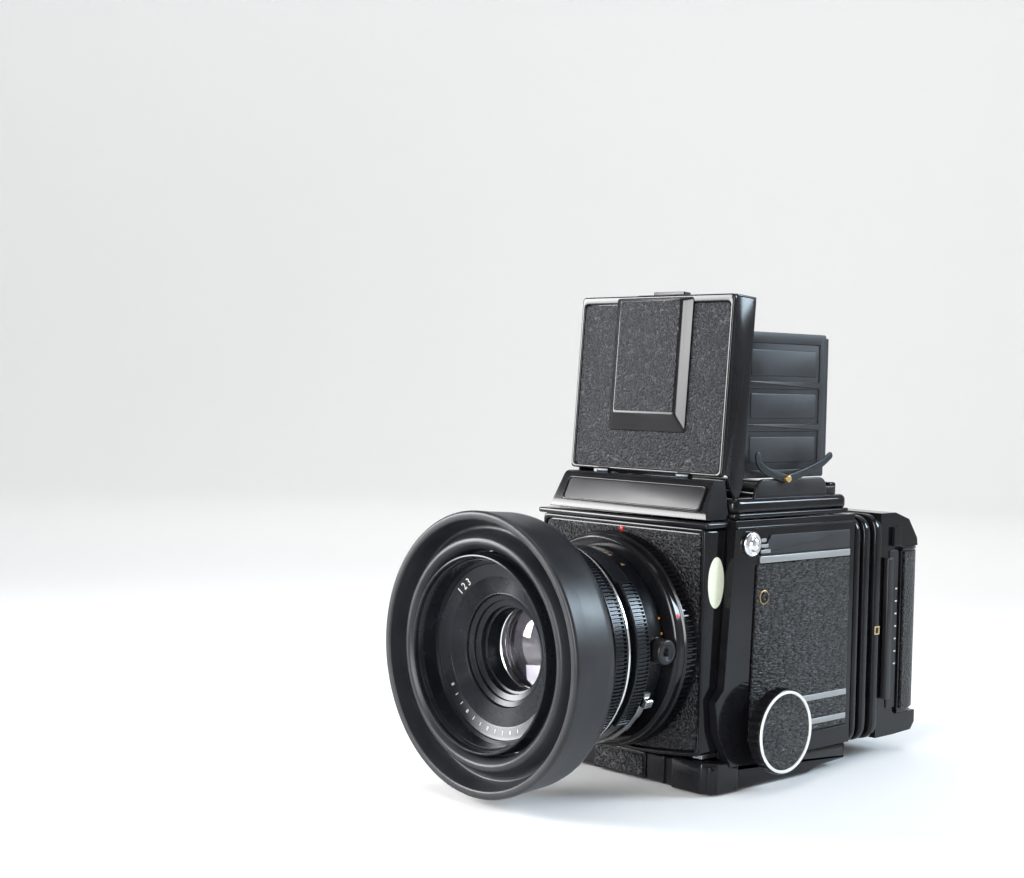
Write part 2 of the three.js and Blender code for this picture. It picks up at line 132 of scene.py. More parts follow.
def bump(tree, shader, height, strength, distance):
    node = place(tree, "ShaderNodeBump")
    node.inputs["Strength"].default_value = strength
    node.inputs["Distance"].default_value = distance
    tree.links.new(height, node.inputs["Height"])
    tree.links.new(node.outputs["Normal"], shader.inputs["Normal"])


def paint(name, color, roughness, spread, grain, depth, metallic=0.0, coat=0.0, shine=0.3):
    """Sprayed paint: orange peel from fine noise, handling marks from broad noise."""
    look, tree, shader = new_look(name, color, roughness, metallic)
    shader.inputs["Specular IOR Level"].default_value = shine
    shader.inputs["Coat Weight"].default_value = coat
    shader.inputs["Coat Roughness"].default_value = 0.12
    broad = noise(tree, 45, 5)
    tree.links.new(ramp(tree, broad, roughness - spread, roughness + spread), shader.inputs["Roughness"])
    lift = tuple(min(1.0, c * 1.7 + 0.004) for c in color)
    tree.links.new(tint(tree, ramp(tree, broad, 0, 1), color, lift), shader.inputs["Base Color"])
    bump(tree, shader, noise(tree, grain, 2), 0.25, depth)
    return look


def leatherette(name, color, roughness, cell, depth, stretch=(1, 1, 1)):
    """Pebbled covering: rounded cells split by creases, with finer grain on top; the colour darkens into
    the creases as painted shade.
    """
    look, tree, shader = new_look(name, color, roughness)
    shader.inputs["Specular IOR Level"].default_value = 0.42
    mapping = place(tree, "ShaderNodeMapping")
    mapping.inputs["Scale"].default_value = stretch
    tree.links.new(object_coords(tree), mapping.inputs["Vector"])
    coords = mapping.outputs["Vector"]
    wander = place(tree, "ShaderNodeTexNoise")
    wander.inputs["Scale"].default_value = cell * 0.7
    tree.links.new(coords, wander.inputs["Vector"])
    mix = place(tree, "ShaderNodeMix", data_type="VECTOR")
    mix.inputs[0].default_value = 0.0011
    tree.links.new(coords, mix.inputs[4])
    tree.links.new(wander.outputs["Color"], mix.inputs[5])
    cells = place(tree, "ShaderNodeTexVoronoi", feature="SMOOTH_F1")
    cells.inputs["Scale"].default_value = cell
    cells.inputs["Smoothness"].default_value = 0.35
    tree.links.new(mix.outputs[1], cells.inputs["Vector"])
    pebble = ramp(tree, cells.outputs["Distance"], 1, 0, 0.05, 0.75)
    fine = noise(tree, cell * 2.6, 3, coords)
    total = place(tree, "ShaderNodeMath", operation="MULTIPLY_ADD")
    total.inputs[1].default_value = 0.35
    tree.links.new(fine, total.inputs[0])
    tree.links.new(pebble, total.inputs[2])
    bump(tree, shader, total.outputs[0], 0.9, depth)
    # painted shade: the colour falls to 45% in the creases between cells, where the pebble mask is low
    painted_crease_shade = tuple(c * 0.45 for c in color)
    tree.links.new(tint(tree, pebble, painted_crease_shade, color), shader.inputs["Base Color"])
    tree.links.new(ramp(tree, fine, roughness - 0.08, roughness + 0.1), shader.inputs["Roughness"])
    return look


def brushed(name, color, roughness, stretch=(1, 1, 30)):
    """Metal with fine lines drawn out along one axis."""
    look, tree, shader = new_look(name, color, roughness, 1.0)
    mapping = place(tree, "ShaderNodeMapping")
    mapping.inputs["Scale"].default_value = stretch
    tree.links.new(object_coords(tree), mapping.inputs["Vector"])
    lines = noise(tree, 260, 4, mapping.outputs["Vector"])
    tree.links.new(ramp(tree, lines, roughness - 0.08, roughness + 0.12), shader.inputs["Roughness"])
    bump(tree, shader, lines, 0.12, 0.00004)
    return look


def flat_ink(name, color, roughness=0.5):
    """Filled engraving or print, slightly uneven."""
    look, tree, shader = new_look(name, color, roughness)
    worn = tuple(c * 0.8 for c in color)
    tree.links.new(tint(tree, noise(tree, 900, 2), worn, color), shader.inputs["Base Color"])
    return look


def clear_glass(name, color, ior, coat_tint):
    look, tree, shader = new_look(name, color, 0.02)
    shader.inputs["IOR"].default_value = ior
    shader.inputs["Transmission Weight"].default_value = 1.0
    shader.inputs["Coat Weight"].default_value = 0.8
    shader.inputs["Coat Roughness"].default_value = 0.02
    shader.inputs["Coat Tint"].default_value = (*coat_tint, 1)
    tree.links.new(ramp(tree, noise(tree, 300, 4), 0.0, 0.06, 0.45, 0.8), shader.inputs["Roughness"])
    return look


gloss = paint("gloss_black_paint", (0.004, 0.004, 0.005), 0.1, 0.03, 1800, 0.00002, coat=0.05, shine=0.2)
satin = paint("satin_black_paint", (0.008, 0.008, 0.0095), 0.34, 0.07, 2600, 0.00004)
dusky = paint("dark_grey_finder_paint", (0.011, 0.012, 0.0145), 0.42, 0.06, 3200, 0.00005)
matte = paint("matte_black_inside", (0.005, 0.005, 0.006), 0.7, 0.08, 3000, 0.00005)
anodised = paint("anodised_lens_black", (0.007, 0.0085, 0.011), 0.26, 0.05, 2600, 0.00002, metallic=0.3,
    shine=0.3)
rubber = paint("hood_rubber", (0.010, 0.0105, 0.0125), 0.38, 0.06, 1500, 0.00006, shine=0.3)
pebble = leatherette("pebbled_leatherette", (0.013, 0.013, 0.016), 0.3, 760, 0.0015)
pebble_side = leatherette("wavy_side_leatherette", (0.010, 0.010, 0.012), 0.3, 1000, 0.0014, (1, 0.32, 1))
pebble_fine = leatherette("finder_leatherette", (0.036, 0.037, 0.043), 0.3, 900, 0.0013)
pebble_back = leatherette("back_leatherette", (0.012, 0.012, 0.013), 0.42, 1000, 0.0007)
chrome = brushed("polished_chrome", (0.78, 0.78, 0.79), 0.12)
steel = brushed("brushed_steel", (0.42, 0.43, 0.45), 0.3)
satin_alloy = brushed("satin_alloy", (0.34, 0.35, 0.35), 0.42, (1, 20, 1))
dark_steel = brushed("blackened_steel", (0.05, 0.055, 0.06), 0.35)
brass = brushed("worn_brass", (0.55, 0.38, 0.16), 0.35)
white_ink = flat_ink("white_filling", (0.78, 0.78, 0.76))
gold_ink = flat_ink("gold_filling", (0.62, 0.45, 0.22), 0.35)
red_ink = flat_ink("red_filling", (0.75, 0.02, 0.015), 0.3)
orange_ink = flat_ink("orange_filling", (0.85, 0.28, 0.03), 0.35)
sticker = flat_ink("pale_sticker", (0.80, 0.84, 0.66), 0.45)
glass = clear_glass("lens_glass", (0.95, 0.97, 0.98), 1.58, (0.98, 0.95, 1.0))
screen_glass = clear_glass("ground_screen", (0.9, 0.93, 0.9), 1.5, (1, 1, 1))
mirror_look = new_look("mirror_silver", (0.9, 0.9, 0.92), 0.03, 1.0)[0]


# ---- surfaces ----------------------------------------------------------------
def finish_mesh(name, verts, faces, look, body, sharp=32, closed=True):
    """Millimetre vertices and faces become a shaded piece, riding on a body if one is given."""
    mesh = bpy.data.meshes.new(name)
    mesh.from_pydata((np.asarray(verts) * MM).tolist(), [], faces)
    edit = bmesh.new()
    edit.from_mesh(mesh)
    bmesh.ops.remove_doubles(edit, verts=edit.verts, dist=0.002 * MM)
    if closed:
        bmesh.ops.recalc_face_normals(edit, faces=edit.faces)
    edit.to_mesh(mesh)
    edit.free()
    mesh.polygons.foreach_set("use_smooth", np.ones(len(mesh.polygons), bool))
    mesh.set_sharp_from_angle(angle=math.radians(sharp))
    mesh.materials.append(look)
    piece = bpy.data.objects.new(name, mesh)
    bpy.context.scene.collection.objects.link(piece)
    if body:
        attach(piece, body)
    return piece


def loft(name, rings, look, body, cap=(True, True), loop=False, sharp=32):
    """Skin through rings of points, an array (rings, points, 3): neighbouring
    rings are joined by quads, and the first and last are capped flat."""
    rings = np.asarray(rings, float)
    count, size, _ = rings.shape
    index = np.arange(count * size).reshape(count, size)
    here = index if loop else index[:-1]
    ahead = np.roll(index, -1, axis=0) if loop else index[1:]
    quads = np.stack(
        [here, np.roll(here, -1, axis=1), np.roll(ahead, -1, axis=1), ahead], axis=-1
    ).reshape(-1, 4)
    faces = quads.tolist()
    if cap[0] and not loop:
        faces.append(index[0][::-1].tolist())
    if cap[1] and not loop:
        faces.append(index[-1].tolist())
    return finish_mesh(name, rings.reshape(-1, 3), faces, look, body, sharp)


def eased(points, radius, steps=5, closed=True):
    """Rounds each corner of a 2-D outline: the corner becomes a quadratic curve
    that starts and ends the given radius away, or 45% of a short side."""
    points = np.asarray([p[:2] for p in points], float)
    radii = np.broadcast_to(radius, len(points)).astype(float)
    out = []
    count = len(points)
    for i, corner in enumerate(points):
        if not closed and i in (0, count - 1) or radii[i] <= 0:
            out.append(corner[None])
            continue
        back, ahead = points[i - 1] - corner, points[(i + 1) % count] - corner
        reach = [min(radii[i], 0.45 * np.linalg.norm(v)) / np.linalg.norm(v) for v in (back, ahead)]
        a, b = corner + back * reach[0], corner + ahead * reach[1]
        t = np.linspace(0, 1, steps + 1)[:, None]
        out.append((1 - t) ** 2 * a + 2 * t * (1 - t) * corner + t ** 2 * b)
    return np.concatenate(out)


def inset(outline, amount):
    """Moves every point of a closed outline inwards along its mean normal."""
    outline = np.asarray(outline, float)
    ahead = np.roll(outline, -1, axis=0) - outline
    ahead /= np.maximum(np.linalg.norm(ahead, axis=1, keepdims=True), 1e-9)
    back = np.roll(ahead, 1, axis=0)
    mean = ahead + back
    mean /= np.maximum(np.linalg.norm(mean, axis=1, keepdims=True), 1e-9)
    stretch = 1 / np.maximum(0.4, np.sum(mean * ahead, axis=1, keepdims=True))
    normal = np.stack([-mean[:, 1], mean[:, 0]], axis=1)
    area = np.sum(outline[:, 0] * np.roll(outline[:, 1], -1) - outline[:, 1] * np.roll(outline[:, 0], -1))
    return outline + normal * stretch * amount * (1 if area > 0 else -1)


AXES = {"x": (1, 2, 0), "y": (0, 2, 1), "z": (0, 1, 2)}


def along(outline, axis, position):
    """Lifts a 2-D outline into space at a position on the axis."""
    ring = np.zeros((len(outline), 3))
    first, second, third = AXES[axis]
    ring[:, first], ring[:, second], ring[:, third] = outline[:, 0], outline[:, 1], position
    return ring


def slab(name, outline, axis, start, end, look, body, edge=0.4, steps=3, sharp=32):
    """A plate: the outline carried from start to end, each rim rounded by
    insetting the outline along a quarter circle."""
    outline = np.asarray(outline, float)
    way = 1 if end > start else -1
    turn = np.linspace(0, math.pi / 2, steps + 1)
    rings = [along(inset(outline, edge * (1 - math.sin(t))), axis, start + way * edge * (1 - math.cos(t)))
             for t in turn]
    rings += [along(inset(outline, edge * (1 - math.cos(t))), axis, end - way * edge * (1 - math.sin(t)))
              for t in turn]
    return loft(name, rings, look, body, sharp=sharp)


def frame_slab(name, outer, inner, axis, start, end, look, body, edge=0.4, steps=3, sharp=32):
    """A plate with a window: outer and inner outlines of equal length, joined in
    a closed loop of rings with all four rims rounded."""
    way = 1 if end > start else -1
    turn = np.linspace(0, math.pi / 2, steps + 1)
    rings = []
    for t in turn:
        rings.append(along(inset(outer, edge * (1 - math.sin(t))), axis,
            start + way * edge * (1 - math.cos(t))))
    for t in turn:
        rings.append(along(inset(outer, edge * (1 - math.cos(t))), axis,
            end - way * edge * (1 - math.sin(t))))
    for t in turn:
        rings.append(along(inset(inner, -edge * (1 - math.sin(t))), axis,
            end - way * edge * (1 - math.cos(t))))
    for t in turn:
        rings.append(along(inset(inner, -edge * (1 - math.cos(t))), axis,
            start + way * edge * (1 - math.sin(t))))
    return loft(name, rings, look, body, loop=True, sharp=sharp)


def rectangle(a0, b0, a1, b1, radius=0.0, steps=5):
    """A rectangle's outline, anticlockwise, with round corners."""
    return eased([(a0, b0), (a1, b0), (a1, b1), (a0, b1)], radius, steps)


def box_piece(name, low, high, look, body, edge=0.4, corner=0.6, axis="y"):
    """A rounded block between two corners."""
    first, second, third = AXES[axis]
    outline = rectangle(low[first], low[second], high[first], high[second], corner, 4)
    return slab(name, outline, axis, low[third], high[third], look, body, edge)


def lathe(name, profile, look, body, centre=(0, 0, None), axis="y", segments=160,
          relief=None, ease=0.3, closed=True, sharp=32):
    """A profile of (radius, position) turned about an axis: each point sweeps a
    circle. relief(angle, radius, position) is taken off the radius."""
    points = eased(profile, ease, 3, closed=closed)
    angle = np.linspace(0, 2 * math.pi, segments, endpoint=False)
    radius = np.repeat(points[:, :1], segments, axis=1)
    if relief is not None:
        radius = radius - relief(angle[None, :], points[:, :1], points[:, 1:2])
    a, b = radius * np.cos(angle), radius * np.sin(angle)
    centre = [AXIS_Z if c is None else c for c in centre]
    first, second, third = AXES[axis]
    rings = np.zeros((len(points), segments, 3))
    rings[..., first] = a + centre[first]
    rings[..., second] = b + centre[second]
    rings[..., third] = points[:, 1:2] + centre[third]
    return loft(name, rings, look, body, cap=(False, False), loop=closed, sharp=sharp)


def teeth(count, depth, low, high, duty=0.5):
    """Relief for a serrated band: radius drops by depth in count grooves between
    two positions, with sloped flanks."""
    def relief(angle, radius, position):
        phase = (angle * count / (2 * math.pi)) % 1.0
        groove = np.clip((np.abs(phase - 0.5) * 2 - duty) * 6, 0, 1)
        band = (position > low) & (position < high)
        return depth * groove * band
    return relief


def text_piece(name, words, size, look, body, to_space):
    """Lettering made a mesh, then each point carried into space by to_space,
    which takes flat x and y arrays in millimetres."""
    curve = bpy.data.curves.new(name, "FONT")
    curve.body = words
    curve.size = size
    curve.align_x = "CENTER"
    curve.align_y = "CENTER"
    curve.resolution_u = 3
    holder = bpy.data.objects.new(name + "_flat", curve)
    bpy.context.scene.collection.objects.link(holder)
    mesh = bpy.data.meshes.new_from_object(holder.evaluated_get(bpy.context.evaluated_depsgraph_get()))
    bpy.data.objects.remove(holder)
    flat = np.zeros(len(mesh.vertices) * 3)
    mesh.vertices.foreach_get("co", flat)
    flat = flat.reshape(-1, 3)
    faces = [list(p.vertices) for p in mesh.polygons]
    bpy.data.meshes.remove(mesh)
    return finish_mesh(name, to_space(flat[:, 0], flat[:, 1]), faces, look, body, closed=False)


def on_lens(radius, y, angle):
    """Wraps flat lettering round the lens: x runs round it, y runs along it.
    Angle 0 is +X and 90 is the top."""
    def to_space(a, b):
        turn = math.radians(angle) - a / radius
        return np.stack([radius * np.cos(turn), y + b, AXIS_Z + radius * np.sin(turn)], axis=1)
    return to_space


def dot(name, centre, normal, radius, look, body, height=0.25):
    """A small domed spot: rings shrink as the cosine and rise as the sine."""
    normal = Vector(normal).normalized()
    side = normal.orthogonal().normalized()
    other = normal.cross(side)
    angle = np.linspace(0, 2 * math.pi, 20, endpoint=False)
    rings = []
    for t in np.linspace(-0.3, 1.35, 6):
        r = radius * math.cos(t)
        rise = height * math.sin(t)
        rings.append([np.array(centre) + r * (math.cos(q) * np.array(side) + math.sin(q) * np.array(other))
                      + rise * np.array(normal) for q in angle])
    return loft(name, rings, look, body)


def stay(name, path, width, thick, look, body, x):
    """A flat link in a plane of constant x: a strip of even width along a path,
    with round ends."""
    path = np.asarray(path, float)
    step = np.gradient(path, axis=0)
    step /= np.linalg.norm(step, axis=1, keepdims=True)
    normal = np.stack([-step[:, 1], step[:, 0]], axis=1)
    half = width / 2
    turn = np.linspace(math.pi / 2, -math.pi / 2, 9)[1:-1]
    tip = path[-1] + half * (np.cos(turn)[:, None] * step[-1] + np.sin(turn)[:, None] * normal[-1])
    tail = path[0] - half * (np.cos(turn)[:, None] * step[0] + np.sin(turn)[:, None] * normal[0])
    outline = np.concatenate([path + half * normal, tip, (path - half * normal)[::-1], tail])
    return slab(name, outline, "x", x, x + thick, look, body, edge=0.2)


def curve_points(points, steps=8):
    """A smooth line through points: Catmull-Rom."""
    p = np.asarray(points, float)
    p = np.concatenate([[2 * p[0] - p[1]], p, [2 * p[-1] - p[-2]]])
    out = []
    t = np.linspace(0, 1, steps, endpoint=False)[:, None]
    for a, b, c, d in zip(p[:-3], p[1:-2], p[2:-1], p[3:]):
        out.append(0.5 * (2 * b + (c - a) * t + (2 * a - 5 * b + 4 * c - d) * t ** 2
                          + (3 * b - a - 3 * c + d) * t ** 3))
    return np.concatenate(out + [p[-2:-1]])


def shift(piece, up):
    """Raises a finished piece, in millimetres."""
    piece.data.transform(Matrix.Translation(Vector((0, 0, up)) * MM))
    return piece


def dress(node, look, bevel=0.0):
    """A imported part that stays: its edges softened and its finish set."""
    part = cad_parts[node]
    part.data.materials.clear()
    part.data.materials.append(look)
    if bevel:
        weld = part.modifiers.new("weld", "WELD")
        weld.merge_threshold = 0.00001
        soften = part.modifiers.new("edges", "BEVEL")
        soften.width = bevel * MM
        soften.segments = 3
        soften.limit_method = "ANGLE"
        soften.angle_limit = math.radians(35)


# ---- view and light ----------------------------------------------------------
YAW, PITCH, ROLL = math.radians(47.09), math.radians(2.0), math.radians(1.286)
EYE = Vector((482.1, -563.1, 168.7)) * MM


def set_view():
    ahead = Vector((-math.sin(YAW) * math.cos(PITCH), math.cos(YAW) * math.cos(PITCH), -math.sin(PITCH)))
    level = Vector((math.cos(YAW), math.sin(YAW), 0))
    upright = level.cross(ahead)
    right = level * math.cos(ROLL) + upright * math.sin(ROLL)
    up = upright * math.cos(ROLL) - level * math.sin(ROLL)
    data = bpy.data.cameras.new("view")
    data.sensor_width = 36
    data.lens = 57.6
    data.clip_start = 0.01
    eye = bpy.data.objects.new("view", data)
    turn = Matrix((right, up, -ahead)).transposed().to_4x4()
    eye.matrix_world = Matrix.Translation(EYE) @ turn
    bpy.context.scene.collection.objects.link(eye)
    bpy.context.scene.camera = eye


def area_light(name, place_mm, target_mm, size, power, color=(1, 1, 1), spread=180):
    data = bpy.data.lights.new(name, "AREA")
    data.shape = "RECTANGLE"
    data.size, data.size_y = size
    data.energy = power
    data.color = color
    data.spread = math.radians(spread)
    lamp = bpy.data.objects.new(name, data)
    start, aim = Vector(place_mm) * MM, Vector(target_mm) * MM
    lamp.location = start
    lamp.rotation_euler = (aim - start).to_track_quat("-Z", "Y").to_euler()
    bpy.context.scene.collection.objects.link(lamp)


def set_stage():
    """A pale floor that sweeps up into a round wall, and soft lights."""
    bpy.context.scene.view_settings.view_transform = "Standard"
    world = bpy.data.worlds.new("studio")
    bpy.context.scene.world = world
    world.use_nodes = True
    world.node_tree.nodes["Background"].inputs["Color"].default_value = (0.93, 0.96, 1.0, 1)
    world.node_tree.nodes["Background"].inputs["Strength"].default_value = 0.12
    # the floor curves up into a round wall: (reach, height) turned about +Z
    flat, radius, height, sides = 1.7, 0.9, 2.6, 96
    turn = np.linspace(0, math.pi / 2, 12)
    section = [(flat + radius * math.sin(t), radius * (1 - math.cos(t))) for t in turn]
    section.append((flat + radius, height))
    angle = np.linspace(0, 2 * math.pi, sides, endpoint=False)
    rings = [np.stack([reach * np.cos(angle), reach * np.sin(angle), np.full(sides, up)], axis=1)
             for reach, up in section]
    index = np.arange(len(section) * sides).reshape(len(section), sides)
    faces = np.stack([index[:-1], index[1:], np.roll(index[1:], -1, axis=1),
        np.roll(index[:-1], -1, axis=1)],
                     axis=-1).reshape(-1, 4).tolist()
    faces.append(index[0].tolist())
    mesh = bpy.data.meshes.new("sweep")
    mesh.from_pydata(np.concatenate(rings).tolist(), [], faces)
    mesh.polygons.foreach_set("use_smooth", [True] * len(faces))
    sweep = bpy.data.objects.new("sweep", mesh)
    sweep.location.z = -0.0004
    bpy.context.scene.collection.objects.link(sweep)
    mesh.materials.append(new_look("pale_sweep", (0.93, 0.93, 0.93), 0.7)[0])
    area_light("key", (-950, -880, 420), (0, -40, 120), (0.5, 0.7), 4.2, spread=60)
    area_light("cool_side", (760, 880, 640), (0, -40, 90), (0.34, 0.45), 1.9, (0.72, 0.87, 1.0), 60)
    area_light("top", (-150, 100, 2000), (-150, 200, 0), (1.9, 1.9), 17)
    area_light("wall_wash", (-500, 450, 1500), (-1700, 1550, 500), (1.6, 0.8), 16)
    area_light("low_front", (350, -1000, 260), (0, -50, 60), (0.3, 0.9), 2.2, spread=60)


set_view()
set_stage()

# ---- lens ----------------------------------------------------------------------
FRONT = "front_standard"


def make_hood():
    low, high = node_box("rubber_hood")
    r, y0, y1 = high[0], low[1], high[1]
    profile = [
        (r - 3.5, y0 + 0.1), (r - 0.8, y0), (r, y0 + 1.0), (r - 0.7, y0 + 8), (r - 1.4, y1 - 4),
        (r - 2.2, y1 - 0.6), (r - 5, y1), (r - 12, y1 - 1.2), (r - 15.8, y1 - 3.4), (r - 16.4, y1 - 6),
        (r - 16.4, y1 - 14.8), (r - 15.6, y0 + 4.6), (r - 13.2, y0 + 2.3), (r - 11.0, y0 + 2.6),
        (r - 9.6, y0 + 5), (r - 8.2, y0 + 8.4), (r - 6.2, y0 + 8.8), (r - 4.9, y0 + 5.5),
        (r - 3.8, y0 + 1.2),
    ]
    hood = lathe("soft_lens_hood", profile, rubber, FRONT, ease=0.8, segments=200)
    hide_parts("rubber_hood")


def make_filter_ring():
    low, high = node_box("hood_mount_ring")
    r, y0, y1 = high[0], low[1], high[1]
    threads = []
    for i in range(9):
        y = y0 + 8.6 - i * 0.8
        threads += [(37.9, y), (38.3, y - 0.4)]
    profile = [(37.9, y1 - 0.2), *threads, (38.6, y0 + 0.4), (39.0, y0 - 0.2), (39.7, y0), (39.8, y0 + 1),
               (39.8, y0 + 5), (r, y0 + 6.5), (r, y1)]
    band = lathe("filter_ring", profile, anodised, FRONT, ease=0.12, segments=180)
    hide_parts("hood_mount_ring")


def make_front_cone():
    y = -120.0
    profile = [(37.3, y - 8), (37.3, y - 1), (35.7, y - 1), (35.4, y - 0.2), (34.2, y + 0.1),
        (30.6, y + 0.9)]
    grooves = []
    for i in range(14):
        t = i / 13
        r = 30.2 - 6.6 * t
        yy = y + 1.0 + 1.6 * t
        grooves += [(r, yy), (r - 0.22, yy + 0.32)]
    profile += grooves
    profile += [(23.1, y + 2.8), (22.6, y + 3.4), (22.6, y + 4.4), (20.4, y + 5.2), (20.4, y + 6.4),
        (18.0, y + 7),
                (18.0, y + 9.4), (16.9, y + 9.6), (16.9, y + 18.4), (18, y + 18.4), (18, y + 11)]
    profile = [(37.9, y + 4), (37.9, y - 8)] + profile
    cone = lathe("name_ring_cone", profile[::-1], anodised, FRONT, ease=0.1, segments=180)
    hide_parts("name_ring")
    retainer = lathe("glass_retainer", [(16.5, -103), (18.2, -104.2), (18.2, -94), (16.5, -94)], chrome,
        FRONT,
                     ease=0.2, segments=96)

    def on_cone(angle):
        def to_space(a, b):
            turn = math.radians(angle) - a / 32.4
            r = 32.4 + b
            return np.stack([r * np.cos(turn), y + 0.38 + (32.4 - r) * 0.22, AXIS_Z + r * np.sin(turn)],
                axis=1)
        return to_space
    for i, angle in enumerate(range(212, 300, 8)):
        words = "I" if i % 3 else "II"  # index strokes round the lower half
        marks = text_piece(f"ring_mark_{i}", words, 2.2, white_ink, FRONT, on_cone(angle))
    text_piece("ring_number", "1 2 3", 4.2, white_ink, FRONT, on_cone(132))


def make_glass():
    """Front and rear glasses, each with faces bulging as the square of the radius."""
    def meniscus(name, y_edge, bulge_front, bulge_back, radius, node):
        t = np.linspace(0, 1, 14)
        front = [(radius * k, y_edge - bulge_front * (1 - k * k)) for k in t]
        back = [(radius * k, y_edge + 3 - bulge_back * (1 - k * k)) for k in t[::-1]]
        lens = lathe(name, front + back, glass, FRONT, ease=0, segments=72, closed=False, sharp=50)
        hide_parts(node)
    meniscus("front_lens_glass", -100.8, 3.6, 0.5, 16.3, "front_element")
    meniscus("rear_lens_glass", -56, 2.0, -3.0, 19.8, "rear_element")
    barrel = lathe("glass_tunnel", [(17.6, -94), (20, -94), (20, -62), (9.5, -86), (9.5, -88),
        (17.6, -90)],
                   matte, FRONT, ease=0.2, segments=64)
    for i in range(5):
        turn = 2 * math.pi * i / 5
        a = np.array([math.cos(turn), math.sin(turn)])
        b = np.array([-a[1], a[0]])
        outline = np.array([a * 6 - b * 3, a * 17 - b * 12, a * 18.5 + b * 4, a * 9 + b * 9,
            a * 6.2 + b * 4])
        blade = slab(f"iris_blade_{i + 1}", eased(outline, 1.2), "y", -86.4 + 0.25 * i, -86.2 + 0.25 * i,
            dark_steel,
                     FRONT, edge=0.04, steps=1)
        shift(blade, AXIS_Z)
    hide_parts("iris_blades")


def make_barrel():
    profile = [
        (36, -106), (36, -114), (40.7, -115), (40.7, -108), (41.6, -107.4), (41.6, -98.6), (40.2, -98.2),
        (40.2, -90.0), (42.9, -89.6), (43.2, -89.0), (42.9, -88.2), (40.9, -87.8), (40.9, -76.4),
        (41.2, -76.2),
        (41.2, -74.8), (40.2, -74.4), (39.6, -66), (38.6, -63.6), (37.6, -51), (32, -51), (32, -106),
    ]
    barrel = lathe("lens_tube", profile, anodised, FRONT, ease=0.3, segments=160)
    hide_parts("lens_barrel")
    line = lathe("chrome_line", [(42.95, -89.7), (43.35, -89.5), (43.35, -88.6), (42.95, -88.4)], chrome,
        FRONT,
                 ease=0.1, segments=160)
    low, high = node_box("shutter_speed_ring")
    r, y0, y1 = high[0], low[1], high[1]
    speed = lathe("shutter_speed_grip", [(41, y0), (r - 0.5, y0), (r, y0 + 0.5), (r, y0 + 0.9),
        (r, y0 + 1.1),
                                         (r, y1 - 1.1), (r, y1 - 0.9), (r, y1 - 0.5), (r - 0.5, y1),
                                         (41, y1)],
                  anodised, "shutter_speed_ring", ease=0.05, segments=170 * 6,
                  relief=teeth(170, 0.75, y0 + 1.0, y1 - 1.0, 0.5), sharp=20)
    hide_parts("shutter_speed_ring")
    low, high = node_box("aperture_ring")
    r, y0, y1 = high[0], low[1], high[1]

    def grip_relief(angle, radius, position):
        """Two raised grips, one each side: elsewhere the ring is 1.7 lower."""
        folded = np.abs(((angle + math.pi / 2) % math.pi) - math.pi / 2)
        on_grip = folded < math.radians(43)
        phase = (angle * 170 / (2 * math.pi)) % 1.0
        groove = np.clip((np.abs(phase - 0.5) * 2 - 0.5) * 6, 0, 1)
        band = (position > y0 + 0.7) & (position < y1 - 0.7)
        outer = radius > 41.5
        return np.where(on_grip, 0.75 * groove * band, 1.7 * outer) * outer
    aperture = lathe("aperture_grip", [(41, y0), (r - 0.4, y0), (r, y0 + 0.4), (r, y0 + 0.6),
        (r, y0 + 0.8),
                                       (r, y1 - 0.8), (r, y1 - 0.6), (r, y1 - 0.4), (r - 0.4, y1),
                                       (41, y1)],
                     anodised, "aperture_ring", ease=0.05, segments=170 * 6, relief=grip_relief, sharp=20)
    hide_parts("aperture_ring")
    low, high = node_box("lens_lock_ring")
    r, y0, y1 = high[0], low[1], high[1]
    lock = lathe("lock_ring_ribbed", [(38.6, y0), (43.6, y0), (44.8, y0 + 0.6), (45.2, y0 + 2),
        (45.2, y0 + 4.6),
                                      (45.0, y0 + 5.0), (r, y0 + 5.4), (r, y0 + 5.9), (r, y0 + 6.1),
                                      (r, y1 - 0.5),
                                      (r, y1 - 0.3), (r - 0.6, y1), (38.6, y1)],
                 gloss, "lens_lock_ring", ease=0.08, segments=126 * 8,
                 relief=teeth(126, 1.1, y0 + 6.0, y1 - 0.35, 0.42), sharp=20)
    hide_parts("lens_lock_ring")
    dot("lock_ring_index", (45.2 * math.cos(0.33), y0 + 3.2, AXIS_Z + 45.2 * math.sin(0.33)),
                (math.cos(0.33), 0, math.sin(0.33)), 0.9, red_ink, "lens_lock_ring")
    for i, (angle, y, ink) in enumerate([(12, -76.0, red_ink), (2, -76.0, red_ink), (20, -66, orange_ink),
                                         (11, -66, orange_ink), (4, -70.5, red_ink)]):
        t = math.radians(angle)
        rr = 41.2 if y < -74 else 40.0
        dot(f"scale_dot_{i + 1}", (rr * math.cos(t), y, AXIS_Z + rr * math.sin(t)),
                    (math.cos(t), 0, math.sin(t)), 0.55, ink, FRONT, 0.15)
    for i, words in enumerate(["22", "16", "11", "8", "5.6", "4"]):
        piece = text_piece(f"aperture_number_{words.replace('.', '_')}", words, 3.4, gold_ink, FRONT,
                           on_lens(40.05, -70.6, 124 - i * 13))
    for i, words in enumerate(["1", "2", "4", "8", "15", "30", "60", "125", "250"]):
        piece = text_piece(f"speed_number_{words}", words, 2.6, white_ink, FRONT,
            on_lens(41.65, -102.6, 136 - i * 11))


